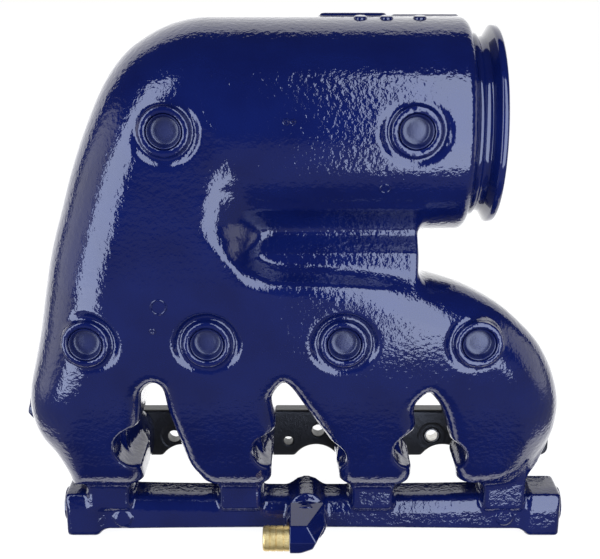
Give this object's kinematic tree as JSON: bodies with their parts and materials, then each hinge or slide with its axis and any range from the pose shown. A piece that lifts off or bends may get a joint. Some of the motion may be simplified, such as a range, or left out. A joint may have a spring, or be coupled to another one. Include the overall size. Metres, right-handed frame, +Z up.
{
  "type": "exhaust manifold",
  "caption": "Water-jacketed exhaust manifold: ported legs rise from a head flange into a log that bends up into a V-band outlet pipe, with a water rail below.",
  "frame": {"origin": "middle of the port row on the head flange's sealing face", "axes": "+Z up, +X along the port row towards the outlet, +Y out of the sealing face into the cylinder head"},
  "size_m": [0.4655, 0.1684, 0.4368],
  "materials": {
    "casting": "glossy dark blue paint over a sand-cast surface",
    "flange": "bare dark machined and cast iron with a thin black coat",
    "liner": "dull cast surface inside the gas passage",
    "brass": "bright turned brass",
    "bush": "zinc-yellow plated steel"
  },
  "bodies": {
    "root": {"jacket_outlet_pipe": "casting", "jacket_bend_upper": "casting", "jacket_bend_lower": "casting", "jacket_log": "casting", "jacket_leg_1": "casting", "jacket_leg_2": "casting", "jacket_leg_3": "casting", "jacket_leg_4": "casting", "joining_web": "casting", "water_rail": "casting", "rail_plug_left": "casting", "rail_plug_right": "casting", "outlet_vband_ring": "casting", "drain_elbow": "casting", "core_plug_upper_left": "casting", "core_plug_upper_right": "casting", "core_plug_lower_1": "casting", "core_plug_lower_2": "casting", "core_plug_lower_3": "casting", "core_plug_lower_4": "casting", "head_flange": "flange", "flange_hole_bush": "bush", "drain_hose_tail": "brass", "outlet_liner": "liner", "bend_liner_upper": "liner", "bend_liner_lower": "liner", "log_liner": "liner", "gas_runner_1": "liner", "gas_runner_2": "liner", "gas_runner_3": "liner", "gas_runner_4": "liner"}
  },
  "joints": []
}
